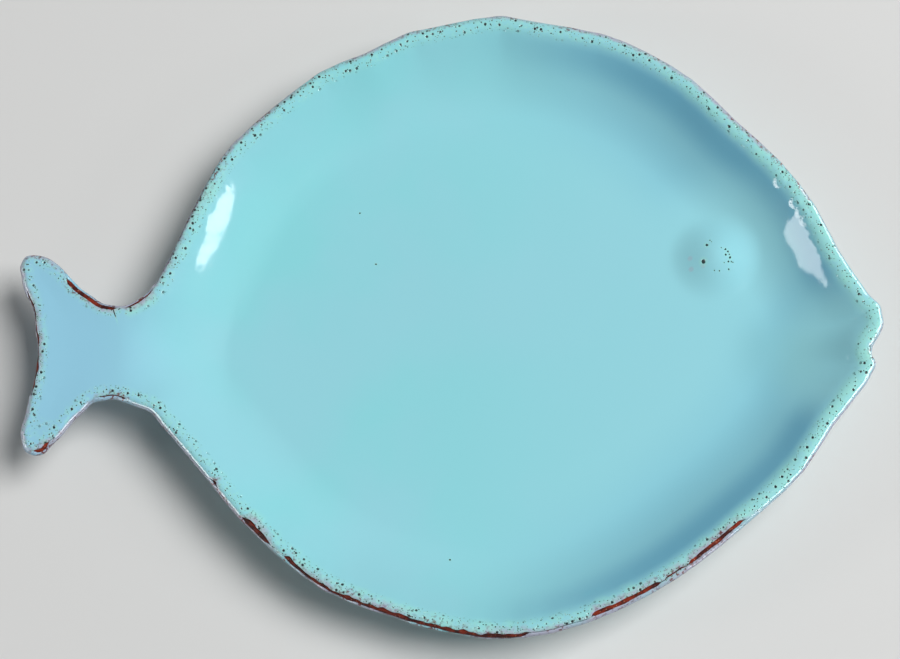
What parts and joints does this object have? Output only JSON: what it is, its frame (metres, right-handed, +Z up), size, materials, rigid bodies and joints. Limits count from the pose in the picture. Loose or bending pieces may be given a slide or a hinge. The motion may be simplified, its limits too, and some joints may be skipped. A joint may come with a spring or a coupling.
{
  "type": "salad plate",
  "caption": "Fish-shaped salad plate with a shallow well, a rolled rim, a forked tail, a raised eye and a foot ring, in glazed terracotta.",
  "frame": {"origin": "centre of the plate's outline, on the surface that it stands on", "axes": "+Z up, +X from the tail to the mouth, +Y towards the fish's back"},
  "size_m": [0.2654, 0.1983, 0.0233],
  "materials": {
    "terracotta": "fired red clay, matt and a little gritty where it shows on the rim",
    "bare_terracotta": "unglazed red clay, sponged smooth and worn on the land",
    "face_glaze": "glossy aqua glaze with pinholes, mint halos and a thin lilac edge along the rim",
    "back_glaze": "thinner glossy aqua glaze, lilac-grey where the clay shows through"
  },
  "bodies": {
    "root": {"clay_body": "terracotta", "eye_pellet": "terracotta", "foot_ring": "bare_terracotta", "face_glaze": "face_glaze", "back_glaze": "back_glaze", "recess_glaze": "back_glaze"}
  },
  "joints": []
}
